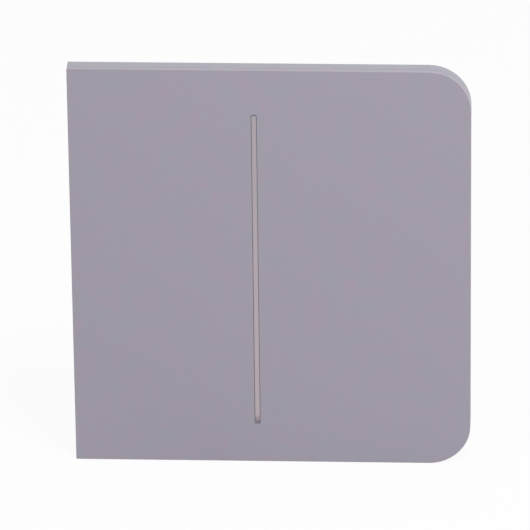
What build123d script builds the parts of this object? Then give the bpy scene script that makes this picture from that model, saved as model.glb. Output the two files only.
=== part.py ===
from build123d import *
import math
import os

# Two-field touch switch for a flush wall box, the right-end plate of a row.
# The wall is the plane y = 0, the room is towards -Y, and the box axis is the Y axis. Lengths in millimetres.

# Fits and gaps
FIT = 0.1
LOOSE_FIT = 0.3
SEAM_GAP = 0.08
WALL_GAP = 0.3

# Touch plate
PLATE_HEIGHT = 82.8
RIGHT_REACH = 41.3
CORNER_R = 8.1
LEFT_CORNER_R = 0.2
FRONT_EDGE_R = 0.15
PLATE_T = 1.05
LIP_T = 0.9

# Lit line between the two touch fields
LINE_W = 1.1
LINE_LENGTH = 65.5
LINE_DROP = 0.55
LINE_END_R = 0.25
GUIDE_GAP = 0.08
GUIDE_TOP_GAP = 0.2
GUIDE_RECESS = 0.2
GUIDE_RAMP = 1.7
GUIDE_FLANGE_W = 2.8
GUIDE_FLANGE_T = 0.3
GUIDE_FLANGE_OVERRUN = 1.2

# Touch board and what it carries
TOUCH_BOARD_T = 0.8
ELECTRODE_T = 0.1
ELECTRODE_INSET = 1.4
ELECTRODE_LINE_GAP = 2.5
LED_COUNT = 5
LED_PITCH = 10.0
LED_HOLE_R = 1.0
LED_BASE_W = 2.6
LED_BASE_LENGTH = 3.4
LED_BASE_T = 0.5
LED_LENS_LENGTH = 0.6
CONTROLLER_X = -12.0
CONTROLLER_W = 3.9
CONTROLLER_LENGTH = 9.9
CONTROLLER_T = 1.1
CONTROLLER_PINS = 8
CONTROLLER_PITCH = 1.27
CHIP_STANDOFF = 0.1
LEAD_W = 0.4
LEAD_T = 0.2
LEAD_REACH = 1.0

# Plug between the panel and the base
PLUG_EDGE_GAP = 0.3
PIN_COUNT = 6
PIN_PITCH = 2.0
PIN_SIDE = 0.5
PIN_ENTRY = 3.0
PLUG_W = 2.0
PLUG_BODY_T = 1.4
SOCKET_W = 2.6
SOCKET_HOLE_SIDE = 0.8
SOCKET_HOLE_DEPTH = 3.6
SOCKET_SETBACK = 0.4

# Rear tray of the panel
TRAY_WALL = 1.2
TRAY_FLOOR_T = 0.85
TRAY_WINDOW_MARGIN = 1.6
WINDOW_CORNER_R = 0.6
PAD_R = 2.0
PAD_SPACING = 58.0
PAD_T = 0.2
HOOK_X = 7.0
HOOK_W = 6.0
HOOK_T = 1.2
HOOK_OUTER_Z = 19.9
HOOK_NOSE = 2.0
HOOK_NOSE_FLAT = 0.5
HOOK_NOSE_LENGTH = 2.0
HOOK_CATCH = 0.5
PRY_NOTCH_W = 8.0

# Steel mounting frame
FRAME_SLOT_MARGIN = 1.6
FRAME_RIM_GAP = 0.3
FRAME_CORNER_R = 4.0
FRAME_T = 0.8
DISH_DEPTH = 1.0
DISH_FLOOR_R = 25.4
DISH_RUN = 0.8
FRAME_WINDOW_R = 14.5
BOX_SCREW_SPACING = 60.0
BOX_SLOT_LENGTH = 4.8
BOX_SLOT_W = 3.6
BOX_HEAD_R = 3.6
ROW_NOTCH_SPACING = 40.0
ROW_NOTCH_W = 5.0
ROW_NOTCH_DEPTH = 1.2

# Screws that hold the frame, cover, power board and housing together
SCREW_SPACING = 30.0
SCREW_R = 1.0
SCREW_LENGTH = 12.0
SCREW_HEAD_R = 2.0
SCREW_HEAD_T = 0.8
SCREW_BEVEL = 0.3
DRIVE_W = 0.5
DRIVE_LENGTH = 2.4
DRIVE_DEPTH = 0.5
POST_R = 2.2
PILOT_END = 0.8

# Base shells
BASE_SIDE = 45.0
BASE_CORNER_R = 16.0
BASE_WALL = 1.5
COVER_T = 1.6
COVER_LIP_T = 1.0
COVER_LIP_HEIGHT = 1.2
BOARD_SPACE = 3.4
BODY_W = 42.0
BODY_TOP = 20.0
BODY_BOTTOM = -19.2
BODY_CORNER_R = 11.0
BODY_FOOT_R = 9.0
BODY_EDGE_R = 0.8
RIM_BEVEL = 0.6
STEP_Z = -8.6
STRIP_GAUGE_LENGTH = 8.0
STRIP_GAUGE_W = 2.4
STRIP_GAUGE_DEPTH = 0.5
STRIP_GAUGE_Z = -4.0

# Power board parts
POWER_BOARD_T = 1.6
RELAY_W = 10.0
RELAY_LENGTH = 19.0
RELAY_HEIGHT = 15.3
RELAY_EDGE_R = 0.6
RELAY_HEAD_SPACE = 0.8
RELAY_SIDE_GAP = 0.9
RELAY_Z = 2.9
CAPACITOR_Z = 13.2
CAPACITOR_R = 4.0
CAPACITOR_HEIGHT = 11.5
CAPACITOR_FOOT = 1.2
CAPACITOR_BEAD = 0.4
FUSE_Z = 13.2
FUSE_W = 4.0
FUSE_LENGTH = 8.4
FUSE_HEIGHT = 7.8
FUSE_EDGE_R = 0.6
CHOKE_Z = 3.4
CHOKE_R = 4.6
CHOKE_NECK_R = 2.4
CHOKE_WINDING_R = 4.2
CHOKE_HEIGHT = 9.0
CHOKE_FLANGE_T = 1.2
VARISTOR_Z = -4.2
VARISTOR_R = 5.0
VARISTOR_T = 3.6
VARISTOR_EDGE = 1.0
VARISTOR_LIFT = 1.5
VARISTOR_LEAD_R = 0.35
VARISTOR_LEAD_SPACING = 5.0
RECTIFIER_X = -10.0
RECTIFIER_W = 3.8
RECTIFIER_LENGTH = 4.7
RECTIFIER_T = 1.4
RECTIFIER_PINS = 2
RECTIFIER_PITCH = 2.5

# Screw terminals
POLE_COUNT = 4
POLE_PITCH = 6.35
WIRE_R = 1.8
WIRE_SPARE = 0.2
CAGE_W = 5.2
CAGE_LENGTH = 7.0
CAGE_WALL = 0.8
CAGE_STANDOFF = 1.2
CAGE_END_GAP = 0.3
BAR_W = 3.4
BAR_T = 0.8
BAR_OVERRUN = 1.4
CLAMP_STROKE = 2.0
CLAMP_SCREW_R = 1.5
CLAMP_THREAD_GAP = 0.05
CLAMP_HEAD_R = 2.4
CLAMP_HEAD_T = 2.0
CLAMP_HEAD_GAP = 0.2
CLAMP_DRIVE_W = 0.8
CLAMP_DRIVE_DEPTH = 1.0
ACCESS_R = 2.0
POLE_RIB_T = 0.6

# Heights above the wall, from the wall towards the room
tray_back = FRAME_T + PAD_T
touch_board_back = tray_back + TRAY_FLOOR_T
touch_board_front = touch_board_back + TOUCH_BOARD_T
plate_back = touch_board_front + ELECTRODE_T
rim_front = plate_back - SEAM_GAP

# Heights behind the wall, from the wall into the box
dish_front = FRAME_T - DISH_DEPTH
cover_front = -DISH_DEPTH
cover_back = cover_front - COVER_T
power_board_front = cover_back - BOARD_SPACE
power_board_back = power_board_front - POWER_BOARD_T
cage_front = power_board_back - CAGE_STANDOFF
wire_level = cage_front - CAGE_WALL - WIRE_SPARE / 2 - WIRE_R
bar_front = cage_front - CAGE_WALL - WIRE_SPARE - 2 * WIRE_R
bar_back = bar_front - BAR_T
cage_back = bar_back - CLAMP_STROKE - CAGE_WALL
clamp_head_back = cage_back - CLAMP_HEAD_T
step_floor = clamp_head_back - CLAMP_HEAD_GAP
step_rear = step_floor - BASE_WALL
relay_rear = power_board_back - RELAY_HEIGHT
body_floor = relay_rear - RELAY_HEAD_SPACE
body_rear = body_floor - BASE_WALL

# Places shared by several pieces
frame_side = BOX_SCREW_SPACING + BOX_SLOT_LENGTH + 2 * FRAME_SLOT_MARGIN
left_reach = frame_side / 2 + FRAME_RIM_GAP + TRAY_WALL
plate_width = left_reach + RIGHT_REACH
plate_centre_x = (RIGHT_REACH - left_reach) / 2
box_screw_reach = BOX_SCREW_SPACING / 2
box_screw_places = [(-box_screw_reach, 0), (box_screw_reach, 0), (0, -box_screw_reach), (0, box_screw_reach)]
hook_stem_z = HOOK_OUTER_Z - HOOK_T
hook_nose_z = hook_stem_z - HOOK_NOSE
hook_catch_z = hook_nose_z + HOOK_CATCH
hook_slot_top_z = HOOK_OUTER_Z + HOOK_CATCH + FIT
pin_row = PIN_COUNT * PIN_PITCH
plug_x = math.sqrt((FRAME_WINDOW_R - PLUG_EDGE_GAP) ** 2 - (pin_row / 2) ** 2) - PLUG_W / 2
socket_top = cover_front - SOCKET_SETBACK
guide_flange_length = LINE_LENGTH + 2 * GUIDE_FLANGE_OVERRUN
cavity_side = BASE_SIDE - 2 * BASE_WALL
cavity_corner_r = BASE_CORNER_R - BASE_WALL
cover_lip_side = cavity_side - 2 * FIT
cover_lip_corner_r = cavity_corner_r - FIT
cover_lip_hollow = cover_lip_side - 2 * COVER_LIP_T
relay_x = BODY_W / 2 - BASE_WALL - RELAY_SIDE_GAP - RELAY_W / 2
relay_inner_x = relay_x - RELAY_W / 2
relay_row_gap = (2 * relay_inner_x - 2 * CAPACITOR_R - FUSE_W) / 3
capacitor_x = relay_inner_x - relay_row_gap - CAPACITOR_R
fuse_x = -relay_inner_x + relay_row_gap + FUSE_W / 2
pole_places = [(i - (POLE_COUNT - 1) / 2) * POLE_PITCH for i in range(POLE_COUNT)]
cage_bottom_z = BODY_BOTTOM + BASE_WALL + CAGE_END_GAP
cage_top_z = cage_bottom_z + CAGE_LENGTH
clamp_z = cage_bottom_z + CAGE_LENGTH / 2
cage_height = cage_front - cage_back
cage_middle = (cage_front + cage_back) / 2

os.makedirs("parts", exist_ok=True)


def level(height):
    """Sketch plane facing the room, at a height in front of the wall."""
    return Plane.XZ.offset(height)


def upright(x, z):
    """Plane through a component's axis: local x is its radius, local y points into the wall."""
    return Plane(origin=(x, 0, z), x_dir=(1, 0, 0), z_dir=(0, 0, 1))


def into_wall(x, z):
    """Axis of a round component that stands square to the wall."""
    return Axis((x, 0, z), (0, 1, 0))


def write(piece, name):
    """Label a finished piece and write its file."""
    piece.label = name
    export_step(piece, f"parts/{name}.step")


def plate_outline(inset):
    """Plate outline drawn in by an inset: straight on the left, round on the right."""
    with BuildSketch() as outline:
        with Locations((plate_centre_x, 0)):
            Rectangle(plate_width - 2 * inset, PLATE_HEIGHT - 2 * inset)
        fillet(outline.vertices().group_by(Axis.X)[-1], CORNER_R - inset)
        fillet(outline.vertices().group_by(Axis.X)[0], LEFT_CORNER_R)
    return outline.sketch


def relay_outline(inset):
    """Outline of the deep relay body, drawn in by an inset, with a rounded top."""
    top = BODY_TOP - inset
    bottom = STEP_Z + inset
    with BuildSketch() as outline:
        with Locations((0, (top + bottom) / 2)):
            Rectangle(BODY_W - 2 * inset, top - bottom)
        fillet(outline.vertices().group_by(Axis.Y)[-1], BODY_CORNER_R - inset)
    return outline.sketch


def body_outline(inset):
    """Outline of the base body with its terminal step, drawn in by an inset and rounded all round."""
    top = BODY_TOP - inset
    bottom = BODY_BOTTOM + inset
    with BuildSketch() as outline:
        with Locations((0, (top + bottom) / 2)):
            Rectangle(BODY_W - 2 * inset, top - bottom)
        fillet(outline.vertices().group_by(Axis.Y)[-1], BODY_CORNER_R - inset)
        fillet(outline.vertices().group_by(Axis.Y)[0], BODY_FOOT_R - inset)
    return outline.sketch


def gull_wing_chip(x, z, seat, side, width, length, thickness, pins, pitch):
    """Chip with bent leads on a board face; side is 1 towards the room and -1 towards the wall."""
    lead_row = width + LEAD_REACH
    riser_row = width + LEAD_T
    with BuildPart() as chip:
        with BuildSketch(level(seat + side * CHIP_STANDOFF)):
            with Locations((x, z)):
                Rectangle(width, length)
        extrude(amount=side * thickness)
        with BuildSketch(level(seat)):
            with Locations((x, z)):
                with GridLocations(lead_row, pitch, 2, pins):
                    Rectangle(LEAD_REACH, LEAD_W)
        extrude(amount=side * LEAD_T)
        with BuildSketch(level(seat)):
            with Locations((x, z)):
                with GridLocations(riser_row, pitch, 2, pins):
                    Rectangle(LEAD_T, LEAD_W)
        extrude(amount=side * (CHIP_STANDOFF + thickness / 2))
    return chip.part


plate_edge = plate_outline(0)
tray_floor_edge = plate_outline(TRAY_WALL / 2)
tray_hollow = plate_outline(TRAY_WALL)
lip_edge = plate_outline(TRAY_WALL + FIT)
lip_hollow = plate_outline(TRAY_WALL + FIT + LIP_T)
touch_board_edge = plate_outline(TRAY_WALL + LIP_T + LOOSE_FIT)
electrode_edge = plate_outline(TRAY_WALL + LIP_T + LOOSE_FIT + ELECTRODE_INSET)

# Front panel: one moulding with the slot for the lit line and a rear lip that stands on the tray floor
with BuildPart() as front_panel:
    with BuildSketch(level(plate_back)):
        add(plate_edge)
    extrude(amount=PLATE_T)
    fillet(front_panel.faces().sort_by(Axis.Y)[0].edges(), FRONT_EDGE_R)
    with BuildSketch(level(touch_board_back)):
        add(lip_edge)
        add(lip_hollow, mode=Mode.SUBTRACT)
    extrude(amount=plate_back - touch_board_back)
    with BuildSketch(level(plate_back)):
        with Locations((0, -LINE_DROP)):
            RectangleRounded(LINE_W, LINE_LENGTH, LINE_END_R)
    extrude(amount=PLATE_T, mode=Mode.SUBTRACT)
    with BuildSketch(level(plate_back)):
        with Locations((0, -LINE_DROP)):
            Rectangle(GUIDE_FLANGE_W + 2 * FIT, guide_flange_length + 2 * FIT)
    extrude(amount=GUIDE_FLANGE_T, mode=Mode.SUBTRACT)
write(front_panel.part, "front_panel")

# Light guide: a bar in the slot that ramps down to its flange at the lower end, held in the recess behind it
guide_top = LINE_LENGTH / 2 - LINE_DROP - GUIDE_TOP_GAP
guide_bottom = -LINE_LENGTH / 2 - LINE_DROP + GUIDE_GAP
guide_front = plate_back + PLATE_T - GUIDE_RECESS
guide_foot = plate_back + GUIDE_FLANGE_T
with BuildPart() as light_guide:
    with BuildSketch(level(plate_back)):
        with Locations((0, -LINE_DROP)):
            Rectangle(GUIDE_FLANGE_W, guide_flange_length)
    extrude(amount=GUIDE_FLANGE_T)
    with BuildSketch(Plane.YZ.offset(GUIDE_GAP - LINE_W / 2)):
        with BuildLine():
            Polyline(
                (-guide_foot, guide_bottom),
                (-plate_back, guide_bottom),
                (-plate_back, guide_top),
                (-guide_front, guide_top),
                (-guide_front, guide_bottom + GUIDE_RAMP),
                close=True,
            )
        make_face()
    extrude(amount=LINE_W - 2 * GUIDE_GAP)
write(light_guide.part, "light_guide")

# Touch electrodes: a copper field on each side of the lit line, notched round the box screws' heads
screw_clearance = BOX_HEAD_R + ELECTRODE_INSET
with BuildPart() as touch_electrodes:
    with BuildSketch(level(touch_board_front)):
        add(electrode_edge)
        Rectangle(2 * ELECTRODE_LINE_GAP, PLATE_HEIGHT, mode=Mode.SUBTRACT)
        with Locations(*box_screw_places):
            Circle(screw_clearance, mode=Mode.SUBTRACT)
        with GridLocations(BOX_SCREW_SPACING + plate_width, 0, 2, 1):
            Rectangle(plate_width, 2 * screw_clearance, mode=Mode.SUBTRACT)
    extrude(amount=ELECTRODE_T)
write(touch_electrodes.part, "touch_electrodes")

# Touch board: lies on the tray floor, with a hole for each lamp and room for the box screws' heads
with BuildPart() as touch_board:
    with BuildSketch(level(touch_board_back)):
        add(touch_board_edge)
        with Locations(*box_screw_places):
            Circle(BOX_HEAD_R, mode=Mode.SUBTRACT)
        with Locations((-(BOX_SCREW_SPACING + plate_width) / 2, 0)):
            Rectangle(plate_width, 2 * BOX_HEAD_R, mode=Mode.SUBTRACT)
        with GridLocations(0, LED_PITCH, 1, LED_COUNT):
            Circle(LED_HOLE_R, mode=Mode.SUBTRACT)
    extrude(amount=TOUCH_BOARD_T)
write(touch_board.part, "touch_board")

# Indicator lamps: seated on the back of the board, each lens up through its hole
with BuildPart() as indicator_leds:
    with BuildSketch(level(touch_board_back)):
        with GridLocations(0, LED_PITCH, 1, LED_COUNT):
            Rectangle(LED_BASE_W, LED_BASE_LENGTH)
    extrude(amount=-LED_BASE_T)
    with BuildSketch(level(touch_board_back)):
        with GridLocations(0, LED_PITCH, 1, LED_COUNT):
            Circle(LED_HOLE_R - FIT)
    extrude(amount=LED_LENS_LENGTH)
write(indicator_leds.part, "indicator_leds")

# Touch controller: the chip that reads both fields
touch_controller = gull_wing_chip(
    CONTROLLER_X, 0, touch_board_back, -1, CONTROLLER_W, CONTROLLER_LENGTH, CONTROLLER_T,
    CONTROLLER_PINS, CONTROLLER_PITCH,
)
write(touch_controller, "touch_controller")

# Plug: a row of square pins in a body on the back of the touch board
with BuildPart() as header_body:
    with BuildSketch(level(touch_board_back)):
        with Locations((plug_x, 0)):
            Rectangle(PLUG_W, pin_row)
            with GridLocations(0, PIN_PITCH, 1, PIN_COUNT):
                Rectangle(PIN_SIDE, PIN_SIDE, mode=Mode.SUBTRACT)
    extrude(amount=-PLUG_BODY_T)
write(header_body.part, "header_body")

with BuildPart() as header_pins:
    with BuildSketch(level(touch_board_back)):
        with Locations((plug_x, 0)):
            with GridLocations(0, PIN_PITCH, 1, PIN_COUNT):
                Rectangle(PIN_SIDE, PIN_SIDE)
    extrude(amount=socket_top - PIN_ENTRY - touch_board_back)
write(header_pins.part, "header_pins")

# Panel tray: rear shell with the rim, a notch to prise it off, floor windows, seat pads and four snap hooks
led_window = (LED_COUNT - 1) * LED_PITCH + LED_BASE_LENGTH + 2 * TRAY_WINDOW_MARGIN
hook_root = tray_back + TRAY_FLOOR_T / 2
hook_catch = -DISH_DEPTH - FIT
with BuildPart() as panel_tray:
    with BuildSketch(level(WALL_GAP)):
        add(plate_edge)
        add(tray_hollow, mode=Mode.SUBTRACT)
    extrude(amount=rim_front - WALL_GAP)
    with BuildSketch(level(WALL_GAP)):
        with Locations((0, (TRAY_WALL - PLATE_HEIGHT) / 2)):
            Rectangle(PRY_NOTCH_W, TRAY_WALL)
    extrude(amount=tray_back - WALL_GAP, mode=Mode.SUBTRACT)
    with BuildSketch(level(tray_back)):
        add(tray_floor_edge)
        RectangleRounded(LED_BASE_W + 2 * TRAY_WINDOW_MARGIN, led_window, WINDOW_CORNER_R, mode=Mode.SUBTRACT)
        with Locations((CONTROLLER_X, 0)):
            RectangleRounded(
                CONTROLLER_W + 2 * LEAD_REACH + 2 * TRAY_WINDOW_MARGIN,
                CONTROLLER_LENGTH + 2 * TRAY_WINDOW_MARGIN,
                WINDOW_CORNER_R,
                mode=Mode.SUBTRACT,
            )
        with Locations((plug_x, 0)):
            RectangleRounded(
                PLUG_W + 2 * TRAY_WINDOW_MARGIN,
                pin_row + 2 * TRAY_WINDOW_MARGIN,
                WINDOW_CORNER_R,
                mode=Mode.SUBTRACT,
            )
        with Locations(*box_screw_places):
            Circle(BOX_HEAD_R, mode=Mode.SUBTRACT)
    extrude(amount=TRAY_FLOOR_T)
    with BuildSketch(level(FRAME_T)):
        with GridLocations(PAD_SPACING, PAD_SPACING, 2, 2):
            Circle(PAD_R)
    extrude(amount=hook_root - FRAME_T)
    for x in (-HOOK_X, HOOK_X):
        for up in (-1, 1):
            with BuildSketch(Plane.YZ.offset(x - HOOK_W / 2)):
                with BuildLine():
                    Polyline(
                        (-hook_root, up * HOOK_OUTER_Z),
                        (-hook_catch + HOOK_NOSE_LENGTH, up * HOOK_OUTER_Z),
                        (-hook_catch + HOOK_NOSE_LENGTH, up * hook_stem_z),
                        (-hook_catch + HOOK_NOSE_FLAT, up * hook_nose_z),
                        (-hook_catch, up * hook_nose_z),
                        (-hook_catch, up * hook_stem_z),
                        (-hook_root, up * hook_stem_z),
                        close=True,
                    )
                make_face()
            extrude(amount=HOOK_W)
write(panel_tray.part, "panel_tray")

# Mounting frame: stamped sheet, dished into the box round its window, notched to line up in a row
dish_rim_r = DISH_FLOOR_R + DISH_RUN
sheet_shift = FRAME_T / 2
with BuildPart() as mounting_frame:
    with BuildSketch(level(0)):
        RectangleRounded(frame_side, frame_side, FRAME_CORNER_R)
        with GridLocations(frame_side - ROW_NOTCH_DEPTH, ROW_NOTCH_SPACING, 2, 2):
            Rectangle(ROW_NOTCH_DEPTH, ROW_NOTCH_W, mode=Mode.SUBTRACT)
        Circle(dish_rim_r + FRAME_T / 2, mode=Mode.SUBTRACT)
    extrude(amount=FRAME_T)
    with BuildSketch(Plane.XY):
        with BuildLine():
            Polyline(
                (FRAME_WINDOW_R, DISH_DEPTH),
                (DISH_FLOOR_R, DISH_DEPTH),
                (dish_rim_r, 0),
                (dish_rim_r + FRAME_T, 0),
                (dish_rim_r + FRAME_T, -FRAME_T),
                (dish_rim_r - sheet_shift, -FRAME_T),
                (DISH_FLOOR_R - sheet_shift, -dish_front),
                (FRAME_WINDOW_R, -dish_front),
                close=True,
            )
        make_face()
    revolve(axis=Axis.Y)
    with BuildSketch(level(0)):
        with Locations((-box_screw_reach, 0), (box_screw_reach, 0)):
            SlotOverall(BOX_SLOT_LENGTH, BOX_SLOT_W)
        with Locations((0, -box_screw_reach), (0, box_screw_reach)):
            SlotOverall(BOX_SLOT_LENGTH, BOX_SLOT_W, rotation=90)
    extrude(amount=FRAME_T, mode=Mode.SUBTRACT)
    with BuildSketch(level(-DISH_DEPTH)):
        with GridLocations(SCREW_SPACING, SCREW_SPACING, 2, 2):
            Circle(SCREW_R + FIT)
        with GridLocations(2 * HOOK_X, hook_slot_top_z + hook_catch_z, 2, 2):
            Rectangle(HOOK_W + 2 * LOOSE_FIT, hook_slot_top_z - hook_catch_z)
    extrude(amount=FRAME_T, mode=Mode.SUBTRACT)
write(mounting_frame.part, "mounting_frame")

# Frame screws: pan heads on the dish floor, shanks down into the housing posts
with BuildPart() as frame_screws:
    for x in (-SCREW_SPACING / 2, SCREW_SPACING / 2):
        for z in (-SCREW_SPACING / 2, SCREW_SPACING / 2):
            with BuildSketch(upright(x, z)):
                with BuildLine():
                    Polyline(
                        (0, -dish_front + SCREW_LENGTH),
                        (SCREW_R, -dish_front + SCREW_LENGTH),
                        (SCREW_R, -dish_front),
                        (SCREW_HEAD_R, -dish_front),
                        (SCREW_HEAD_R, -dish_front - SCREW_HEAD_T + SCREW_BEVEL),
                        (SCREW_HEAD_R - SCREW_BEVEL, -dish_front - SCREW_HEAD_T),
                        (0, -dish_front - SCREW_HEAD_T),
                        close=True,
                    )
                make_face()
            revolve(axis=into_wall(x, z))
    with BuildSketch(level(dish_front + SCREW_HEAD_T)):
        with GridLocations(SCREW_SPACING, SCREW_SPACING, 2, 2):
            Rectangle(DRIVE_LENGTH, DRIVE_W)
            Rectangle(DRIVE_W, DRIVE_LENGTH)
    extrude(amount=-DRIVE_DEPTH, mode=Mode.SUBTRACT)
write(frame_screws.part, "frame_screws")

# Base cover: closes the housing, with a locating lip and spacers that press the power board down
with BuildPart() as base_cover:
    with BuildSketch(level(cover_back)):
        RectangleRounded(BASE_SIDE, BASE_SIDE, BASE_CORNER_R)
    extrude(amount=COVER_T)
    with BuildSketch(level(cover_back - COVER_LIP_HEIGHT)):
        RectangleRounded(cover_lip_side, cover_lip_side, cover_lip_corner_r)
        RectangleRounded(
            cover_lip_hollow,
            cover_lip_hollow,
            cover_lip_corner_r - COVER_LIP_T,
            mode=Mode.SUBTRACT,
        )
    extrude(amount=COVER_LIP_HEIGHT + COVER_T / 2)
    with BuildSketch(level(power_board_front)):
        with GridLocations(SCREW_SPACING, SCREW_SPACING, 2, 2):
            Circle(POST_R)
    extrude(amount=BOARD_SPACE + COVER_T / 2)
    with BuildSketch(level(power_board_front)):
        with GridLocations(SCREW_SPACING, SCREW_SPACING, 2, 2):
            Circle(SCREW_R + FIT)
    extrude(amount=BOARD_SPACE + COVER_T, mode=Mode.SUBTRACT)
    with BuildSketch(level(cover_back - COVER_LIP_HEIGHT)):
        with GridLocations(2 * HOOK_X, hook_slot_top_z + hook_nose_z - LOOSE_FIT, 2, 2):
            Rectangle(HOOK_W + 2 * LOOSE_FIT, hook_slot_top_z - hook_nose_z + LOOSE_FIT)
        with Locations((plug_x, 0)):
            Rectangle(SOCKET_W + 2 * LOOSE_FIT, pin_row + PLUG_W + 2 * LOOSE_FIT)
    extrude(amount=COVER_T + COVER_LIP_HEIGHT, mode=Mode.SUBTRACT)
write(base_cover.part, "base_cover")

# Base housing: shallow rim for the board, deep relay body with a wire-stripping gauge, lower terminal step
body_edge = body_outline(0)
body_hollow = body_outline(BASE_WALL)
relay_edge = relay_outline(0)
relay_hollow = relay_outline(BASE_WALL)
pole_rib_places = [(a + b) / 2 for a, b in zip(pole_places, pole_places[1:])]
pole_rib_length = CAGE_LENGTH + CAGE_END_GAP + BASE_WALL / 2
with BuildPart() as base_housing:
    with BuildSketch(level(cover_back)):
        RectangleRounded(BASE_SIDE, BASE_SIDE, BASE_CORNER_R)
    extrude(amount=power_board_back - BASE_WALL - cover_back)
    chamfer(base_housing.faces().sort_by(Axis.Y)[-1].edges(), RIM_BEVEL)
    with BuildSketch(level(power_board_back)):
        add(body_edge)
    extrude(amount=step_rear - power_board_back)
    fillet(base_housing.faces().sort_by(Axis.Y)[-1].edges(), BODY_EDGE_R)
    with BuildSketch(level(power_board_back)):
        add(relay_edge)
    extrude(amount=body_rear - power_board_back)
    fillet(base_housing.faces().sort_by(Axis.Y)[-1].edges(), BODY_EDGE_R)
    with BuildSketch(level(cover_back)):
        RectangleRounded(cavity_side, cavity_side, cavity_corner_r)
    extrude(amount=power_board_back - cover_back, mode=Mode.SUBTRACT)
    with BuildSketch(level(power_board_back)):
        add(body_hollow)
    extrude(amount=step_floor - power_board_back, mode=Mode.SUBTRACT)
    with BuildSketch(level(power_board_back)):
        add(relay_hollow)
    extrude(amount=body_floor - power_board_back, mode=Mode.SUBTRACT)
    with BuildSketch(level(power_board_back)):
        with Locations((-SCREW_SPACING / 2, -SCREW_SPACING / 2), (SCREW_SPACING / 2, -SCREW_SPACING / 2)):
            Circle(POST_R)
    extrude(amount=step_rear + BASE_WALL / 2 - power_board_back)
    with BuildSketch(level(power_board_back)):
        with Locations((-SCREW_SPACING / 2, SCREW_SPACING / 2), (SCREW_SPACING / 2, SCREW_SPACING / 2)):
            Circle(POST_R)
    extrude(amount=body_rear + BASE_WALL / 2 - power_board_back)
    with BuildSketch(level(power_board_back)):
        with GridLocations(SCREW_SPACING, SCREW_SPACING, 2, 2):
            Circle(SCREW_R + FIT / 2)
    extrude(amount=dish_front - SCREW_LENGTH - PILOT_END - power_board_back, mode=Mode.SUBTRACT)
    with BuildSketch(level(step_floor - BASE_WALL / 2)):
        with Locations(*[(x, BODY_BOTTOM + BASE_WALL / 2 + pole_rib_length / 2) for x in pole_rib_places]):
            Rectangle(POLE_RIB_T, pole_rib_length)
    extrude(amount=cage_front - step_floor + BASE_WALL / 2)
    with BuildSketch(Plane.XY.offset(BODY_BOTTOM)):
        with Locations(*[(x, -wire_level) for x in pole_places]):
            Circle(WIRE_R)
    extrude(amount=BASE_WALL, mode=Mode.SUBTRACT)
    with BuildSketch(level(step_rear)):
        with Locations(*[(x, clamp_z) for x in pole_places]):
            Circle(ACCESS_R)
    extrude(amount=BASE_WALL, mode=Mode.SUBTRACT)
    with BuildSketch(level(body_rear)):
        with Locations((0, STRIP_GAUGE_Z)):
            SlotOverall(STRIP_GAUGE_LENGTH, STRIP_GAUGE_W)
    extrude(amount=STRIP_GAUGE_DEPTH, mode=Mode.SUBTRACT)
write(base_housing.part, "base_housing")

# Power board: clamped between the housing ledge and posts and the cover's spacers
with BuildPart() as power_board:
    with BuildSketch(level(power_board_back)):
        RectangleRounded(cavity_side - 2 * FIT, cavity_side - 2 * FIT, cavity_corner_r - FIT)
        with GridLocations(SCREW_SPACING, SCREW_SPACING, 2, 2):
            Circle(SCREW_R + FIT, mode=Mode.SUBTRACT)
    extrude(amount=POWER_BOARD_T)
write(power_board.part, "power_board")

# Header socket: stands on the power board in the cover's opening and takes the panel's pins
with BuildPart() as header_socket:
    with BuildSketch(level(power_board_front)):
        with Locations((plug_x, 0)):
            Rectangle(SOCKET_W, pin_row + PLUG_W)
    extrude(amount=socket_top - power_board_front)
    with BuildSketch(level(socket_top)):
        with Locations((plug_x, 0)):
            with GridLocations(0, PIN_PITCH, 1, PIN_COUNT):
                Rectangle(SOCKET_HOLE_SIDE, SOCKET_HOLE_SIDE)
    extrude(amount=-SOCKET_HOLE_DEPTH, mode=Mode.SUBTRACT)
write(header_socket.part, "header_socket")

# Relays: one sealed case for each touch field
for side, name in ((-1, "relay_left"), (1, "relay_right")):
    with BuildPart() as relay:
        with BuildSketch(level(power_board_back)):
            with Locations((side * relay_x, RELAY_Z)):
                RectangleRounded(RELAY_W, RELAY_LENGTH, RELAY_EDGE_R)
        extrude(amount=-RELAY_HEIGHT)
        chamfer(relay.faces().sort_by(Axis.Y)[-1].edges(), RELAY_EDGE_R / 2)
    write(relay.part, name)

# Storage capacitor: a can with a rolled bead near the board
capacitor_foot = -power_board_back + CAPACITOR_FOOT
capacitor_top = -power_board_back + CAPACITOR_HEIGHT
with BuildPart() as storage_capacitor:
    with BuildSketch(upright(capacitor_x, CAPACITOR_Z)):
        with BuildLine():
            Polyline(
                (0, -power_board_back),
                (CAPACITOR_R, -power_board_back),
                (CAPACITOR_R, capacitor_foot),
                (CAPACITOR_R - CAPACITOR_BEAD, capacitor_foot + CAPACITOR_BEAD),
                (CAPACITOR_R, capacitor_foot + 2 * CAPACITOR_BEAD),
                (CAPACITOR_R, capacitor_top - CAPACITOR_BEAD),
                (CAPACITOR_R - CAPACITOR_BEAD, capacitor_top),
                (0, capacitor_top),
                close=True,
            )
        make_face()
    revolve(axis=into_wall(capacitor_x, CAPACITOR_Z))
write(storage_capacitor.part, "storage_capacitor")

# Fuse: a small moulded block beside the capacitor
with BuildPart() as fuse:
    with BuildSketch(level(power_board_back)):
        with Locations((fuse_x, FUSE_Z)):
            Rectangle(FUSE_W, FUSE_LENGTH)
    extrude(amount=-FUSE_HEIGHT)
    fillet(fuse.faces().sort_by(Axis.Y)[-1].edges(), FUSE_EDGE_R)
write(fuse.part, "fuse")

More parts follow.
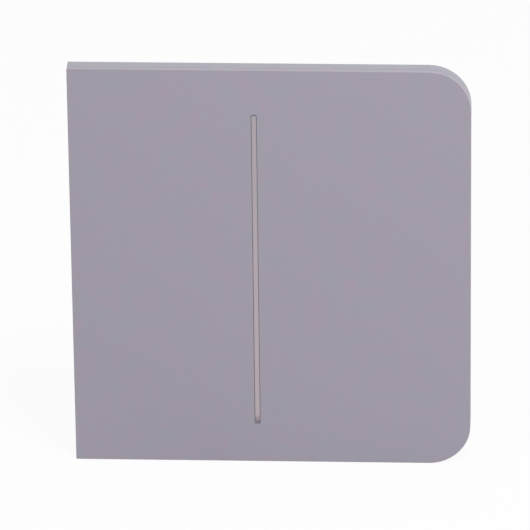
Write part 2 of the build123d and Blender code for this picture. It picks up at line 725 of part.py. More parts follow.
# Choke: a ferrite drum with its winding between the flanges
choke_top = -power_board_back + CHOKE_HEIGHT
with BuildPart() as choke_core:
    with BuildSketch(upright(0, CHOKE_Z)):
        with BuildLine():
            Polyline(
                (0, -power_board_back),
                (CHOKE_R, -power_board_back),
                (CHOKE_R, -power_board_back + CHOKE_FLANGE_T),
                (CHOKE_NECK_R, -power_board_back + CHOKE_FLANGE_T),
                (CHOKE_NECK_R, choke_top - CHOKE_FLANGE_T),
                (CHOKE_R, choke_top - CHOKE_FLANGE_T),
                (CHOKE_R, choke_top),
                (0, choke_top),
                close=True,
            )
        make_face()
    revolve(axis=into_wall(0, CHOKE_Z))
write(choke_core.part, "choke_core")

with BuildPart() as choke_winding:
    with BuildSketch(level(power_board_back - CHOKE_FLANGE_T)):
        with Locations((0, CHOKE_Z)):
            Circle(CHOKE_WINDING_R)
            Circle(CHOKE_NECK_R, mode=Mode.SUBTRACT)
    extrude(amount=-CHOKE_HEIGHT + 2 * CHOKE_FLANGE_T)
write(choke_winding.part, "choke_winding")

# Varistor: a coated disc on two leads
varistor_level = power_board_back - VARISTOR_LIFT - VARISTOR_R
with BuildPart() as varistor:
    with BuildSketch(Plane.XY.offset(VARISTOR_Z - VARISTOR_T / 2)):
        with Locations((0, -varistor_level)):
            Circle(VARISTOR_R)
    extrude(amount=VARISTOR_T)
    chamfer(varistor.edges(), VARISTOR_EDGE)
    with BuildSketch(level(power_board_back)):
        with Locations((0, VARISTOR_Z)):
            with GridLocations(VARISTOR_LEAD_SPACING, 0, 2, 1):
                Circle(VARISTOR_LEAD_R)
    extrude(amount=-VARISTOR_LIFT - VARISTOR_R)
write(varistor.part, "varistor")

# Bridge rectifier on the room side of the power board
bridge_rectifier = gull_wing_chip(
    RECTIFIER_X, 0, power_board_front, 1, RECTIFIER_W, RECTIFIER_LENGTH, RECTIFIER_T,
    RECTIFIER_PINS, RECTIFIER_PITCH,
)
write(bridge_rectifier, "bridge_rectifier")

# Terminal clamps: square cages, open along the wire, with the screw's thread in the rear wall
with BuildPart() as terminal_clamps:
    with BuildSketch(Plane.XY.offset(cage_bottom_z)):
        with Locations(*[(x, -cage_middle) for x in pole_places]):
            Rectangle(CAGE_W, cage_height)
            Rectangle(CAGE_W - 2 * CAGE_WALL, cage_height - 2 * CAGE_WALL, mode=Mode.SUBTRACT)
    extrude(amount=CAGE_LENGTH)
    with BuildSketch(level(cage_back)):
        with Locations(*[(x, clamp_z) for x in pole_places]):
            Circle(CLAMP_SCREW_R + CLAMP_THREAD_GAP)
    extrude(amount=CAGE_WALL, mode=Mode.SUBTRACT)
write(terminal_clamps.part, "terminal_clamps")

# Terminal bars: copper strips through the cages, bent down to the power board
bar_end_z = cage_bottom_z + CAGE_END_GAP
bar_heel_z = cage_top_z + BAR_OVERRUN
with BuildPart() as terminal_bars:
    for x in pole_places:
        with BuildSketch(Plane.YZ.offset(x - BAR_W / 2)):
            with BuildLine():
                Polyline(
                    (-bar_back, bar_end_z),
                    (-bar_back, bar_heel_z),
                    (-power_board_back, bar_heel_z),
                    (-power_board_back, bar_heel_z - BAR_T),
                    (-bar_front, bar_heel_z - BAR_T),
                    (-bar_front, bar_end_z),
                    close=True,
                )
            make_face()
        extrude(amount=BAR_W)
write(terminal_bars.part, "terminal_bars")

# Terminal screws: slotted heads behind the access holes, tips on the bars
with BuildPart() as terminal_screws:
    for x in pole_places:
        with BuildSketch(upright(x, clamp_z)):
            with BuildLine():
                Polyline(
                    (0, -bar_back),
                    (CLAMP_SCREW_R, -bar_back),
                    (CLAMP_SCREW_R, -cage_back),
                    (CLAMP_HEAD_R, -cage_back),
                    (CLAMP_HEAD_R, -clamp_head_back),
                    (0, -clamp_head_back),
                    close=True,
                )
            make_face()
        revolve(axis=into_wall(x, clamp_z))
    with BuildSketch(level(clamp_head_back)):
        with Locations(*[(x, clamp_z) for x in pole_places]):
            Rectangle(2 * CLAMP_HEAD_R, CLAMP_DRIVE_W)
    extrude(amount=CLAMP_DRIVE_DEPTH, mode=Mode.SUBTRACT)
write(terminal_screws.part, "terminal_screws")
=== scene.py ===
import math
from typing import NamedTuple

import bmesh
import bpy
from bpy.props import FloatProperty, FloatVectorProperty, IntProperty, PointerProperty
from mathutils import Matrix, Vector


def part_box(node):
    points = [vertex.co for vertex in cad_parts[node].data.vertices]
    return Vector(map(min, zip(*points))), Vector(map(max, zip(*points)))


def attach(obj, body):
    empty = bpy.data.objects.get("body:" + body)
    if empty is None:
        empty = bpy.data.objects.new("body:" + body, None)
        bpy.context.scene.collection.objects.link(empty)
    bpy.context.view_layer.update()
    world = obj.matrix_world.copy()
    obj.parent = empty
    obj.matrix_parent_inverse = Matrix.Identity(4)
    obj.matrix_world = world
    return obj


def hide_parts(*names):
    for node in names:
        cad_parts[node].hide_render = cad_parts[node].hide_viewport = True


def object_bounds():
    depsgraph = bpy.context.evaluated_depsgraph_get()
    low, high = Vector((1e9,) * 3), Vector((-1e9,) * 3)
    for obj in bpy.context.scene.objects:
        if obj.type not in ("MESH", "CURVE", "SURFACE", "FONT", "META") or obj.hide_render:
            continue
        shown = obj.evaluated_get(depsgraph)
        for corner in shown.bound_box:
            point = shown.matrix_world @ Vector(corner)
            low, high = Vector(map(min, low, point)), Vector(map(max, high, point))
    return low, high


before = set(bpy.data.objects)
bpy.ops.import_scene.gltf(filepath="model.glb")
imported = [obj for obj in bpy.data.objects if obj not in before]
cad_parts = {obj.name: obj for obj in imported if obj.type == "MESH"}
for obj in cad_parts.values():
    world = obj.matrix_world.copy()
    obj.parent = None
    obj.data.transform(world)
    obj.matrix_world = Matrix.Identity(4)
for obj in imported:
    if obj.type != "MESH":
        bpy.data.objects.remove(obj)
CAD_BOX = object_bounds()

bl_info = {
    "name": "Two-field touch switch",
    "version": (1, 0, 0),
    "blender": (4, 5, 0),
    "location": "3D View > Sidebar > Touch Switch",
    "description": "Finishes the pieces of a flush two-field touch switch and sets up its studio",
    "category": "Object",
}

ROOT = "root"
MM = 0.001

# Meshes
WELD_DISTANCE = 1e-6
SHARP_ANGLE = math.radians(35)

# Screws: which way along Y a head points, how much wider than the shank it is at least, and the share of
# its full radius that a thread keeps at its tip
TO_ROOM = -1
INTO_WALL = 1
HEAD_OVER_SHANK = 1.1
THREAD_TIP_SHARE = 0.7
THREAD_SIDES = 24
THREAD_ROWS_PER_TURN = 8

# Choke winding
WIRE_SIDES = 6
WIRE_POINTS_PER_TURN = 24

# Values of the noise between which a cloud goes over from one tone to the other
CLOUD_EDGES = (0.3, 0.7)

# Y of the normal where a surface faces the room and is grained, and where it turns away and is polished
GRAINED_AT = -0.98
POLISHED_AT = -0.85

# Studio
WHITE = (1.0, 1.0, 1.0, 1.0)
SENSOR_WIDTH = 36.0


class Lamp(NamedTuple):
    """Soft square lamp, placed by its distance and direction from the plate's face.

    mirrored says whether the lamp itself shows in reflections.
    """

    name: str
    watts: float
    side: float
    distance: float
    direction: tuple
    mirrored: bool


# The side lamp isn't mirrored, because it would glare along the rim when seen from the left
LAMPS = (
    Lamp(
        name="top_lamp", watts=0.8, side=120 * MM, distance=420 * MM,
        direction=(0.21, -0.41, 0.89), mirrored=True,
    ),
    Lamp(
        name="side_lamp", watts=0.6, side=300 * MM, distance=700 * MM,
        direction=(0.96, -0.06, 0.27), mirrored=False,
    ),
)


def linear(hex_code):
    """Linear RGB of an sRGB hex value."""
    channels = [int(hex_code[i:i + 2], 16) / 255 for i in (1, 3, 5)]
    return tuple(c / 12.92 if c <= 0.04045 else ((c + 0.055) / 1.055) ** 2.4 for c in channels)


def colour(name, description, hex_code):
    """Colour property that starts at an sRGB hex value."""
    return FloatVectorProperty(
        name=name, description=description, subtype="COLOR", size=3, min=0.0, max=1.0,
        default=linear(hex_code),
    )


def length(name, description, millimetres):
    """Length property given in millimetres and kept in metres."""
    return FloatProperty(
        name=name, description=description, unit="LENGTH", precision=5, default=millimetres * MM
    )


def angle(name, description, degrees):
    """Angle property given in degrees and kept in radians."""
    return FloatProperty(
        name=name, description=description, subtype="ANGLE", default=math.radians(degrees)
    )


class PanelLook(bpy.types.PropertyGroup):
    """Finish of the touch panel's two shells and its lit line"""

    face: colour("Face", "Warmer grey-lilac of the touch plate", "#A599A8")
    face_cool: colour("Face, cooler", "Cooler tone that clouds the touch plate", "#9D9CA9")
    tray: colour("Rear shell", "Grey of the rear shell, a little less lilac than the plate", "#A2A0A8")
    guide_top: colour("Light guide, top", "Milky tone of the unlit light guide at its top", "#B0A7AF")
    guide_foot: colour("Light guide, foot", "Warmer, paler tone of the light guide at its foot", "#C0B2B7")
    grain: length("Grain", "Width of the pebbles that the spark-eroded tool leaves", 0.35)
    cloud: length("Cloud", "Width of the faint clouds in the plastic", 3.2)


class MetalLook(bpy.types.PropertyGroup):
    """Finish of the sheet metal, screws and conductors"""

    zinc: colour("Zinc", "Bright side of blue-passivated zinc", "#C9CDD2")
    zinc_dull: colour("Zinc, dull", "Duller crystals of the zinc", "#AEB3B8")
    copper: colour("Copper", "Rolled copper", "#D08A63")
    gold: colour("Gold flash", "Thin gold on the plug's pins", "#D9BE7A")
    frame_screw_pitch: length("Frame screw pitch", "Thread pitch of the frame screws", 0.8)
    clamp_screw_pitch: length("Clamp screw pitch", "Thread pitch of the terminal screws", 0.5)
    thread_depth: FloatProperty(
        name="Thread depth", description="Depth of a thread as a share of its pitch", subtype="FACTOR",
        min=0.0, max=0.6, default=0.45,
    )


class BaseLook(bpy.types.PropertyGroup):
    """Finish of the flush-box base and of the parts on both boards"""

    shell: colour("Base shell", "Charcoal of the glass-filled polyamide", "#3B3C40")
    shell_streak: colour("Base shell, streaks", "Paler flow streaks near the glass fibres", "#45464A")
    board: colour("Board", "Green solder mask", "#1F5A35")
    black_resin: colour("Black resin", "Moulding compound of the chips and plug bodies", "#1B1B1D")
    lamp: colour("Lamp", "Pale resin of the indicator lamps", "#E6E0CF")
    relay: colour("Relay", "Blue moulded relay", "#24406F")
    sleeve: colour("Capacitor", "Dark shrink sleeve", "#20222B")
    varistor: colour("Varistor", "Blue dipped epoxy", "#2A5C9E")
    fuse: colour("Fuse", "Brown moulded fuse", "#6B4630")
    ferrite: colour("Ferrite", "Sintered dark grey", "#3A3838")
    enamel: colour("Enamelled wire", "Copper under clear enamel", "#B5652F")
    wire: length("Winding wire", "Thickness of the choke's wire over its enamel", 0.42)
    layers: IntProperty(
        name="Winding layers", description="Layers of wire on the choke", min=1, max=8, default=4
    )


class StudioLook(bpy.types.PropertyGroup):
    """Camera, light and floor"""

    elevation: angle("Elevation", "Angle of the camera above the plate's axis", 25.0)
    turn: angle("Turn", "Angle of the camera to the right of the plate's axis", 3.084)
    roll: angle("Roll", "Turn of the camera about its own axis", 0.705)
    distance: length("Distance", "From the camera to the middle of the plate", 1254.0)
    picture_width: length("Picture width", "Width of the view at the plate", 101.785)
    aim_left: length("Aim left", "How far left of the plate's middle the camera aims", 1.10)
    aim_up: length("Aim up", "How far above the plate's middle the camera aims", 0.72)
    floor_half: length("Floor reach", "Half of the floor's side", 4000.0)
    floor: colour("Floor", "Pale floor", "#F4F4F4")
    ambient: FloatProperty(
        name="Ambient", description="Strength of the even light from all round", min=0.0, default=0.591
    )
    lamp_level: FloatProperty(
        name="Lamps", description="Level of all the lamps together", min=0.0, default=1.0
    )
    white_share: FloatProperty(
        name="White share", description="How much of the floor the camera sees as plain white",
        subtype="FACTOR", min=0.0, max=1.0, default=0.92,
    )


class SwitchLook(bpy.types.PropertyGroup):
    """All the settings of the touch switch"""

    panel: PointerProperty(type=PanelLook)
    metal: PointerProperty(type=MetalLook)
    base: PointerProperty(type=BaseLook)
    studio: PointerProperty(type=StudioLook)


def add_node(tree, kind, inputs=None, **settings):
    """Add a node, with its settings, and give each input a value or a link."""
    node = tree.nodes.new(kind)
    for key, value in settings.items():
        setattr(node, key, value)
    for socket, value in (inputs or {}).items():
        if isinstance(value, bpy.types.NodeSocket):
            tree.links.new(value, node.inputs[socket])
        else:
            node.inputs[socket].default_value = value
    return node


def rgba(rgb):
    """Colour with full cover, as shader sockets take it."""
    return (*rgb, 1.0)


def shade(rgb, factor):
    """Paler tone of a colour with a factor over 1, and a darker one with a factor under 1."""
    return [min(1.0, c * factor) for c in rgb]


def surface(
    name, tones, grain, relief, roughness,
    cloud=None, stretch=(1, 1, 1), fade=None, side_roughness=None, **shader,
):
    """Material that goes from one tone to another, with a fine grain that is raised and varies the gloss.

    grain is the grain's width, relief its height and cloud the width of the clouds that mix the tones, all
    in metres, and stretch narrows the clouds along an axis. fade is a pair of heights between which the
    first tone goes over into the second, in place of clouds. roughness is a pair between which the grain
    varies the gloss, and side_roughness is for all that turns away from the room, which then has no grain.
    """
    material = bpy.data.materials.new(name)
    material.use_nodes = True
    tree = material.node_tree
    tree.nodes.clear()
    origin = add_node(tree, "ShaderNodeTexCoord").outputs
    place = origin["Object"]
    if fade is None:
        edges = CLOUD_EDGES
        drawn = add_node(tree, "ShaderNodeMapping", {"Vector": place, "Scale": stretch}).outputs["Vector"]
        clouds = add_node(tree, "ShaderNodeTexNoise", {"Vector": drawn, "Scale": 1 / cloud, "Detail": 3.0})
        pattern = clouds.outputs["Fac"]
    else:
        edges = fade
        pattern = add_node(tree, "ShaderNodeSeparateXYZ", {"Vector": place}).outputs["Z"]
    share = add_node(
        tree, "ShaderNodeMapRange", {"Value": pattern, "From Min": edges[0], "From Max": edges[1]}
    )
    tone = add_node(
        tree, "ShaderNodeMix",
        {"Factor": share.outputs["Result"], "A": rgba(tones[0]), "B": rgba(tones[1])},
        data_type="RGBA",
    )
    pebbles = add_node(
        tree, "ShaderNodeTexNoise", {"Vector": place, "Scale": 1 / grain, "Detail": 1.0}
    ).outputs["Fac"]
    gloss = add_node(
        tree, "ShaderNodeMapRange", {"Value": pebbles, "To Min": roughness[0], "To Max": roughness[1]}
    )
    relief_inputs = {"Height": pebbles, "Distance": relief}
    if side_roughness is not None:
        facing = add_node(tree, "ShaderNodeSeparateXYZ", {"Vector": origin["Normal"]})
        grained = add_node(
            tree, "ShaderNodeMapRange",
            {"Value": facing.outputs["Y"], "From Min": POLISHED_AT, "From Max": GRAINED_AT},
        )
        gloss = add_node(
            tree, "ShaderNodeMapRange",
            {"Value": grained.outputs["Result"], "To Min": side_roughness, "To Max": gloss.outputs["Result"]},
        )
        relief_inputs["Strength"] = grained.outputs["Result"]
    bump = add_node(tree, "ShaderNodeBump", relief_inputs)
    finish = add_node(
        tree, "ShaderNodeBsdfPrincipled",
        {
            "Base Color": tone.outputs["Result"],
            "Roughness": gloss.outputs["Result"],
            "Normal": bump.outputs["Normal"],
            **shader,
        },
    )
    add_node(tree, "ShaderNodeOutputMaterial", {"Surface": finish.outputs["BSDF"]})
    return material


def spark_eroded_plate(look):
    """Polycarbonate blend moulded against a spark-eroded tool."""
    # The tool's pebbles scatter the light, so the plate reads as an even, dry grey with no mirror image.
    # Real pebbles are about 0.1 mm wide and are drawn coarser here, so that they show. The sides have to
    # slide out of the tool, which is polished there, so the edge catches a narrow glint.
    return surface(
        "pc_blend_spark_eroded", (look.face, look.face_cool), grain=look.grain, relief=0.004 * MM,
        roughness=(0.34, 0.44), cloud=look.cloud, side_roughness=0.24, IOR=1.56,
    )


def moulded_tray(look):
    """Polycarbonate blend of the rear shell, moulded with a finer grain than the plate."""
    # The finer grain leaves a soft sheen along the rim.
    return surface(
        "pc_blend_moulded", (look.tray, look.face_cool), grain=0.25 * MM, relief=0.002 * MM,
        roughness=(0.38, 0.5), cloud=look.cloud, IOR=1.56,
    )


def opal_acrylic(look):
    """Acrylic with a little diffuser in it, moulded in a polished tool."""
    # The diffuser turns the bar milky, more so towards its foot, and the polished tool leaves a clear gloss.
    low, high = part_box("light_guide")
    return surface(
        "opal_acrylic_moulded", (look.guide_top, look.guide_foot), grain=0.4 * MM, relief=0.001 * MM,
        roughness=(0.2, 0.3), fade=(high.z, low.z), IOR=1.49,
    )


def zinc_plated_steel(look):
    """Stamped sheet steel, zinc plated and blue passivated."""
    # The zinc's crystals cloud the metal between bright and dull, drawn out along the rolled sheet.
    return surface(
        "steel_zinc_plated", (look.zinc, look.zinc_dull), grain=0.3 * MM, relief=0.002 * MM,
        roughness=(0.28, 0.42), cloud=3.0 * MM, stretch=(1, 1, 3), Metallic=1.0,
    )


def glass_filled_polyamide(look):
    """Polyamide with glass fibre, moulded."""
    # Fibres near the surface leave pale flow streaks and a dull, slightly rough skin.
    return surface(
        "polyamide_glass_filled", (look.shell, look.shell_streak), grain=0.3 * MM, relief=0.006 * MM,
        roughness=(0.5, 0.66), cloud=5.0 * MM, stretch=(1, 3, 1), IOR=1.53,
    )


def solder_masked_board(look):
    """Glass epoxy board under a green solder mask, screen printed and cured."""
    # The mask is a thin glossy film, a shade paler where it lies over the weave.
    return surface(
        "board_solder_mask", (look.board, shade(look.board, 1.25)), grain=0.5 * MM, relief=0.003 * MM,
        roughness=(0.25, 0.35), cloud=2.0 * MM, IOR=1.55,
    )


def rolled_copper(look):
    """Copper, rolled to strip and foil."""
    # Rolling leaves fine bright lines, and handling darkens it in patches.
    return surface(
        "copper_rolled", (look.copper, shade(look.copper, 0.8)), grain=0.2 * MM, relief=0.001 * MM,
        roughness=(0.25, 0.38), cloud=2.5 * MM, stretch=(4, 1, 1), Metallic=1.0,
    )


def gold_flashed_pin(look):
    """Brass pin with a flash of gold over nickel, barrel plated."""
    # The thin bright plating is smooth and only a little clouded.
    return surface(
        "brass_gold_flash", (look.gold, shade(look.gold, 1.08)), grain=0.2 * MM, relief=0.0005 * MM,
        roughness=(0.18, 0.26), cloud=1.5 * MM, Metallic=1.0,
    )


def moulding_compound(look):
    """Black epoxy moulding compound, transfer moulded."""
    # Its silica filler gives a dull, even, fine-grained black.
    return surface(
        "epoxy_moulding_compound", (look.black_resin, shade(look.black_resin, 1.5)),
        grain=0.15 * MM, relief=0.002 * MM, roughness=(0.5, 0.62), cloud=1.5 * MM, IOR=1.55,
    )


def lamp_resin(look):
    """White lamp housing and clear epoxy dome, cast."""
    # Cast against a polished tool, so it is smooth and bright.
    return surface(
        "epoxy_lamp_cast", (look.lamp, shade(look.lamp, 0.94)), grain=0.2 * MM, relief=0.0005 * MM,
        roughness=(0.15, 0.22), cloud=1.0 * MM, IOR=1.5,
    )


def relay_polyester(look):
    """Glass-filled polyester, moulded in a semi-gloss tool."""
    # A smooth satin skin with faint streaks from the gate.
    return surface(
        "polyester_moulded", (look.relay, shade(look.relay, 0.85)), grain=0.3 * MM, relief=0.002 * MM,
        roughness=(0.34, 0.44), cloud=4.0 * MM, stretch=(1, 3, 1), IOR=1.57,
    )


def shrink_sleeve(look):
    """Polyester film, shrunk over a drawn can."""
    # The tight film is smooth and glossy.
    return surface(
        "polyester_shrink_film", (look.sleeve, shade(look.sleeve, 1.3)), grain=0.6 * MM, relief=0.003 * MM,
        roughness=(0.2, 0.3), cloud=3.0 * MM, IOR=1.57,
    )


def dipped_epoxy(look):
    """Epoxy powder, fluid-bed dipped and cured."""
    # The coat flows into a soft gloss with a gentle orange peel.
    return surface(
        "epoxy_dip_coat", (look.varistor, shade(look.varistor, 0.85)), grain=0.6 * MM, relief=0.01 * MM,
        roughness=(0.24, 0.34), cloud=2.0 * MM, IOR=1.55,
    )


def fuse_moulding(look):
    """Thermoset, compression moulded."""
    # Flash-free and matt, with small colour flecks.
    return surface(
        "thermoset_moulded", (look.fuse, shade(look.fuse, 0.8)), grain=0.2 * MM, relief=0.003 * MM,
        roughness=(0.45, 0.58), cloud=1.0 * MM, IOR=1.55,
    )


def sintered_ferrite(look):
    """Manganese zinc ferrite, pressed and sintered."""
    # A ceramic: dense, dark, and speckled with tiny pores.
    return surface(
        "ferrite_sintered", (look.ferrite, shade(look.ferrite, 0.7)), grain=0.15 * MM, relief=0.005 * MM,
        roughness=(0.5, 0.64), cloud=0.8 * MM, IOR=2.2,
    )


def enamelled_copper(look):
    """Drawn copper wire under clear enamel."""
    # The enamel deepens the copper to orange brown and leaves it glossy.
    return surface(
        "copper_enamelled", (look.enamel, shade(look.enamel, 0.85)), grain=0.3 * MM, relief=0.0005 * MM,
        roughness=(0.22, 0.3), cloud=1.0 * MM, Metallic=1.0,
    )


def dress(material, *nodes):
    """Give CAD pieces their material."""
    for name in nodes:
        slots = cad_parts[name].data.materials
        slots.clear()
        slots.append(material)


def new_piece(name, bm, material, slot, *nodes):
    """Turn a bmesh into a piece that rides on the switch and stands for CAD nodes."""
    bmesh.ops.recalc_face_normals(bm, faces=bm.faces)
    mesh = bpy.data.meshes.new(name)
    bm.to_mesh(mesh)
    bm.free()
    if mesh.has_custom_normals:
        # Normals kept from the CAD mesh no longer fit the faces once they are joined up.
        mesh.attributes.remove(mesh.attributes["custom_normal"])
    mesh.shade_smooth()
    mesh.set_sharp_from_angle(angle=SHARP_ANGLE)
    mesh.materials.append(material)
    piece = bpy.data.objects.new(name, mesh)
    bpy.context.scene.collection.objects.link(piece)
    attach(piece, ROOT)
    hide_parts(*nodes)


def welded_copy(node):
    """Editable copy of a CAD piece's mesh, joined up along its edges."""
    bm = bmesh.new()
    bm.from_mesh(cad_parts[node].data)
    bmesh.ops.remove_doubles(bm, verts=bm.verts, dist=WELD_DISTANCE)
    return bm


def loose_parts(bm):
    """The separate solids of a mesh, each as a list of its vertices."""
    parts = []
    found = set()
    for first in bm.verts:
        if first in found:
            continue
        found.add(first)
        part = [first]
        for vert in part:
            for edge in vert.link_edges:
                other = edge.other_vert(vert)
                if other not in found:
                    found.add(other)
                    part.append(other)
        parts.append(part)
    return parts


def skin_rings(bm, rings):
    """Closed skin over a row of rings that have as many vertices each."""
    for lower, upper in zip(rings, rings[1:]):
        for i in range(len(lower)):
            j = (i + 1) % len(lower)
            bm.faces.new((lower[i], lower[j], upper[j], upper[i]))
    bm.faces.new(rings[0])
    bm.faces.new(rings[-1])


def add_thread(bm, axis, start, end, radius, pitch, depth):
    """Closed V thread along Y round the axis (x, z), with a tapered tip."""
    rows = round(abs(end - start) / pitch * THREAD_ROWS_PER_TURN)
    rings = []
    for row in range(rows + 1):
        y = start + (end - start) * row / rows
        taper = min(1.0, THREAD_TIP_SHARE + (1 - THREAD_TIP_SHARE) * abs(end - y) / pitch)
        ring = []
        for side in range(THREAD_SIDES):
            turn = side / THREAD_SIDES
            wave = abs(2 * ((row / THREAD_ROWS_PER_TURN + turn) % 1.0) - 1)
            r = (radius - depth * wave) * taper
            bearing = 2 * math.pi * turn
            x = axis[0] + r * math.cos(bearing)
            z = axis[1] + r * math.sin(bearing)
            ring.append(bm.verts.new((x, y, z)))
        rings.append(ring)
    skin_rings(bm, rings)


def thread_screws(node, head_side, pitch, depth, material, slot):
    """Screws with their CAD heads and a cut thread in place of the plain shank.

    head_side is TO_ROOM or INTO_WALL, and depth is a share of the pitch.
    """
    bm = welded_copy(node)
    shanks = []
    for part in loose_parts(bm):
        x = (max(v.co.x for v in part) + min(v.co.x for v in part)) / 2
        z = (max(v.co.z for v in part) + min(v.co.z for v in part)) / 2
        profile = [(v.co.y, math.hypot(v.co.x - x, v.co.z - z)) for v in part]
        tip = max((y for y, r in profile), key=lambda y: -head_side * y)
        radius = max(r for y, r in profile if abs(y - tip) < WELD_DISTANCE)
        head = [y for y, r in profile if r > HEAD_OVER_SHANK * radius]
        underside = max(head, key=lambda y: -head_side * y)
        shanks.append(((x, z), underside, tip, radius))
    # All the screws of a node have their heads at one height, so one cut takes off every shank.
    bmesh.ops.bisect_plane(
        bm, geom=[*bm.verts, *bm.edges, *bm.faces], dist=WELD_DISTANCE,
        plane_co=(0, shanks[0][1], 0), plane_no=(0, -head_side, 0), clear_outer=True,
    )
    bmesh.ops.holes_fill(bm, edges=[edge for edge in bm.edges if edge.is_boundary])
    for axis, underside, tip, radius in shanks:
        # The thread starts a little way inside the head.
        start = underside + head_side * pitch / 4
        add_thread(bm, axis, start, tip, radius, pitch, depth * pitch)
    new_piece(f"{node}_threaded", bm, material, slot, node)


def wind_choke(node, wire, layers, material, slot):
    """One wire wound up and down between the choke's flanges, layer on layer."""
    low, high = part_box(node)
    middle = (low + high) / 2
    outer = (high.x - low.x) / 2
    turns = int((high.y - low.y) / wire) - 1
    rise = (high.y - low.y - wire) / turns
    path = []
    for layer in range(layers):
        radius = outer - wire * (layers - layer - 0.5)
        for step in range(turns * WIRE_POINTS_PER_TURN + 1):
            turned = step / WIRE_POINTS_PER_TURN
            climb = rise * turned
            y = low.y + wire / 2 + climb if layer % 2 == 0 else high.y - wire / 2 - climb
            x = middle.x + radius * math.cos(2 * math.pi * turned)
            z = middle.z + radius * math.sin(2 * math.pi * turned)
            path.append(Vector((x, y, z)))
    bm = bmesh.new()
    rings = []
    for before, here, after in zip(path, path[1:], path[2:]):
        along = (after - before).normalized()
        out = Vector((here.x - middle.x, 0, here.z - middle.z)).normalized()
        across = along.cross(out).normalized()
        ring = []
        for side in range(WIRE_SIDES):
            bearing = 2 * math.pi * side / WIRE_SIDES
            offset = math.cos(bearing) * out + math.sin(bearing) * across
            ring.append(bm.verts.new(here + wire / 2 * offset))
        rings.append(ring)
    skin_rings(bm, rings)
    new_piece(f"{node}_wire", bm, material, slot, node)


class TOUCHSWITCH_OT_panel_shells(bpy.types.Operator):
    """Give the touch plate and its rear shell their moulded finish"""

    bl_idname = "touch_switch.panel_shells"
    bl_label = "Panel shells"

    def execute(self, context):
        look = context.scene.touch_switch.panel
        dress(spark_eroded_plate(look), "front_panel")
        dress(moulded_tray(look), "panel_tray")
        return {"FINISHED"}


class TOUCHSWITCH_OT_lit_line(bpy.types.Operator):
    """Give the light guide between the two fields its milky acrylic"""

    bl_idname = "touch_switch.lit_line"
    bl_label = "Lit line"

    def execute(self, context):
        dress(opal_acrylic(context.scene.touch_switch.panel), "light_guide")
        return {"FINISHED"}


class TOUCHSWITCH_OT_boards(bpy.types.Operator):
    """Finish both circuit boards, the copper, the lamps, the chips and the plug"""

    bl_idname = "touch_switch.boards"
    bl_label = "Circuit boards"

    def execute(self, context):
        settings = context.scene.touch_switch
        dress(solder_masked_board(settings.base), "touch_board", "power_board")
        dress(rolled_copper(settings.metal), "touch_electrodes", "terminal_bars")
        dress(lamp_resin(settings.base), "indicator_leds")
        dress(
            moulding_compound(settings.base),
            "touch_controller", "header_body", "header_socket", "bridge_rectifier",
        )
        dress(gold_flashed_pin(settings.metal), "header_pins")
        return {"FINISHED"}


class TOUCHSWITCH_OT_frame_and_screws(bpy.types.Operator):
    """Finish the zinc-plated frame, screws and clamps, and cut the screws' threads"""

    bl_idname = "touch_switch.frame_and_screws"
    bl_label = "Frame, screws and clamps"

    def execute(self, context):
        metal = context.scene.touch_switch.metal
        zinc = zinc_plated_steel(metal)
        dress(zinc, "mounting_frame", "terminal_clamps")
        depth = metal.thread_depth
        thread_screws("frame_screws", TO_ROOM, metal.frame_screw_pitch, depth, zinc, "zinc_steel")
        thread_screws("terminal_screws", INTO_WALL, metal.clamp_screw_pitch, depth, zinc, "zinc_steel")
        return {"FINISHED"}


class TOUCHSWITCH_OT_base_shells(bpy.types.Operator):
    """Give the two shells of the flush-box base their moulded finish"""

    bl_idname = "touch_switch.base_shells"
    bl_label = "Base shells"

    def execute(self, context):
        dress(glass_filled_polyamide(context.scene.touch_switch.base), "base_cover", "base_housing")
        return {"FINISHED"}


class TOUCHSWITCH_OT_power_parts(bpy.types.Operator):
    """Finish the relays and the mains supply, and wind the choke"""

    bl_idname = "touch_switch.power_parts"
    bl_label = "Power parts"

    def execute(self, context):
        base = context.scene.touch_switch.base
        dress(relay_polyester(base), "relay_left", "relay_right")
        dress(shrink_sleeve(base), "storage_capacitor")
        dress(dipped_epoxy(base), "varistor")
        dress(fuse_moulding(base), "fuse")
        dress(sintered_ferrite(base), "choke_core")
        wind_choke("choke_winding", base.wire, base.layers, enamelled_copper(base), "copper_wire")
        return {"FINISHED"}


def seen_directly(tree):
    """1 for rays that show a surface to the eye: straight, mirrored or through glass."""
    path = add_node(tree, "ShaderNodeLightPath").outputs
    mirrored = add_node(
        tree, "ShaderNodeMath", {0: path["Is Camera Ray"], 1: path["Is Glossy Ray"]}, operation="ADD"
    )
    through = add_node(
        tree, "ShaderNodeMath", {0: mirrored.outputs[0], 1: path["Is Transmission Ray"]},
        operation="ADD", use_clamp=True,
    )
    return through.outputs[0]


def white_world(studio):
    """Even light from all round, seen as plain white."""
    world = bpy.data.worlds.new("studio_white")
    world.use_nodes = True
    tree = world.node_tree
    tree.nodes.clear()
    light = add_node(tree, "ShaderNodeBackground", {"Color": WHITE, "Strength": studio.ambient})
    white = add_node(tree, "ShaderNodeBackground", {"Color": WHITE, "Strength": 1.0})
    mixed = add_node(
        tree, "ShaderNodeMixShader", {0: seen_directly(tree), 1: light.outputs[0], 2: white.outputs[0]}
    )
    add_node(tree, "ShaderNodeOutputWorld", {"Surface": mixed.outputs[0]})
    return world


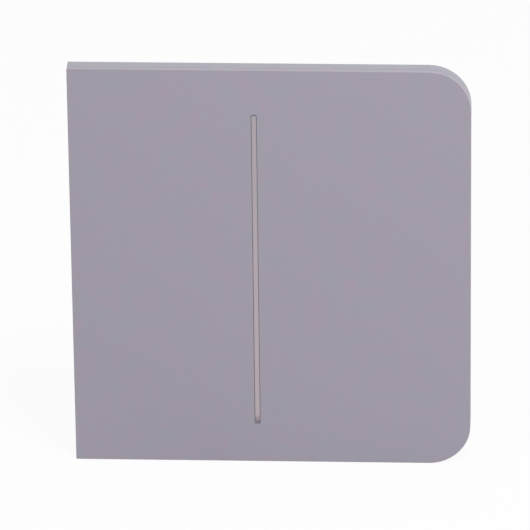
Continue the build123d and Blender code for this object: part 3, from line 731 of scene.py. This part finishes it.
def pale_floor(studio):
    """Matt painted board that keeps its shadows and looks white to the eye."""
    material = bpy.data.materials.new("painted_board_white")
    material.use_nodes = True
    tree = material.node_tree
    tree.nodes.clear()
    matt = add_node(tree, "ShaderNodeBsdfDiffuse", {"Color": rgba(studio.floor)})
    white = add_node(tree, "ShaderNodeEmission", {"Color": WHITE, "Strength": 1.0})
    share = add_node(
        tree, "ShaderNodeMath", {0: seen_directly(tree), 1: studio.white_share}, operation="MULTIPLY"
    )
    mixed = add_node(
        tree, "ShaderNodeMixShader", {0: share.outputs[0], 1: matt.outputs[0], 2: white.outputs[0]}
    )
    add_node(tree, "ShaderNodeOutputMaterial", {"Surface": mixed.outputs[0]})
    return material


class TOUCHSWITCH_OT_stage(bpy.types.Operator):
    """Set up the floor, the light and the camera"""

    bl_idname = "touch_switch.stage"
    bl_label = "Stage"

    def execute(self, context):
        scene = context.scene
        studio = scene.touch_switch.studio
        scene.view_settings.view_transform = "Standard"
        scene.world = white_world(studio)
        self.add_floor(scene, studio)
        plate_low, plate_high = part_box("front_panel")
        face = (plate_low + plate_high) / 2
        face.y = plate_low.y
        for lamp in LAMPS:
            self.add_lamp(scene, studio, face, lamp)
        self.add_camera(scene, studio, face)
        return {"FINISHED"}

    def add_floor(self, scene, studio):
        """Level floor that the plate's lower edge stands on."""
        level = CAD_BOX[0][2]
        half = studio.floor_half
        corners = [(-half, -half, level), (half, -half, level), (half, half, level), (-half, half, level)]
        mesh = bpy.data.meshes.new("floor")
        mesh.from_pydata(corners, [], [(0, 1, 2, 3)])
        mesh.materials.append(pale_floor(studio))
        floor = bpy.data.objects.new("floor", mesh)
        scene.collection.objects.link(floor)

    def add_lamp(self, scene, studio, face, lamp):
        """Square lamp that points at the middle of the face."""
        light = bpy.data.lights.new(lamp.name, "AREA")
        light.energy = lamp.watts * studio.lamp_level
        light.size = lamp.side
        towards = Vector(lamp.direction).normalized()
        holder = bpy.data.objects.new(lamp.name, light)
        holder.location = face + lamp.distance * towards
        holder.rotation_euler = towards.to_track_quat("Z", "Y").to_euler()
        holder.visible_glossy = lamp.mirrored
        scene.collection.objects.link(holder)

    def add_camera(self, scene, studio, face):
        """Camera that looks down on the face, turned and rolled a little, as in the photograph."""
        turned = Matrix.Rotation(studio.turn, 3, "Z")
        ahead = turned @ Vector((0, math.cos(studio.elevation), -math.sin(studio.elevation)))
        right = Matrix.Rotation(studio.roll, 3, ahead) @ turned @ Vector((1, 0, 0))
        up = right.cross(ahead)
        aim = face - studio.aim_left * right + studio.aim_up * up
        data = bpy.data.cameras.new("camera")
        data.sensor_width = SENSOR_WIDTH
        data.lens = SENSOR_WIDTH * studio.distance / studio.picture_width
        camera = bpy.data.objects.new("camera", data)
        axes = Matrix((right, up, -ahead)).transposed().to_4x4()
        camera.matrix_world = Matrix.Translation(aim - studio.distance * ahead) @ axes
        scene.collection.objects.link(camera)
        scene.camera = camera


STEPS = (
    TOUCHSWITCH_OT_panel_shells,
    TOUCHSWITCH_OT_lit_line,
    TOUCHSWITCH_OT_boards,
    TOUCHSWITCH_OT_frame_and_screws,
    TOUCHSWITCH_OT_base_shells,
    TOUCHSWITCH_OT_power_parts,
    TOUCHSWITCH_OT_stage,
)


class TOUCHSWITCH_PT_sidebar(bpy.types.Panel):
    """Steps and settings of the touch switch"""

    bl_label = "Touch switch"
    bl_idname = "TOUCHSWITCH_PT_sidebar"
    bl_space_type = "VIEW_3D"
    bl_region_type = "UI"
    bl_category = "Touch Switch"

    def draw(self, context):
        layout = self.layout
        settings = context.scene.touch_switch
        for step in STEPS:
            layout.operator(step.bl_idname)
        for group in (settings.panel, settings.metal, settings.base, settings.studio):
            box = layout.box()
            for key in group.bl_rna.properties.keys():
                if key not in ("rna_type", "name"):
                    box.prop(group, key)


CLASSES = (PanelLook, MetalLook, BaseLook, StudioLook, SwitchLook, *STEPS, TOUCHSWITCH_PT_sidebar)


def register():
    """Add the classes and the scene's settings to Blender."""
    for cls in CLASSES:
        bpy.utils.register_class(cls)
    bpy.types.Scene.touch_switch = PointerProperty(type=SwitchLook)


def unregister():
    """Take the settings and the classes out again."""
    del bpy.types.Scene.touch_switch
    for cls in reversed(CLASSES):
        bpy.utils.unregister_class(cls)


def main():
    """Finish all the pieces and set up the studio."""
    register()
    for step in STEPS:
        group, name = step.bl_idname.split(".")
        getattr(getattr(bpy.ops, group), name)()


if __name__ == "__main__":
    main()
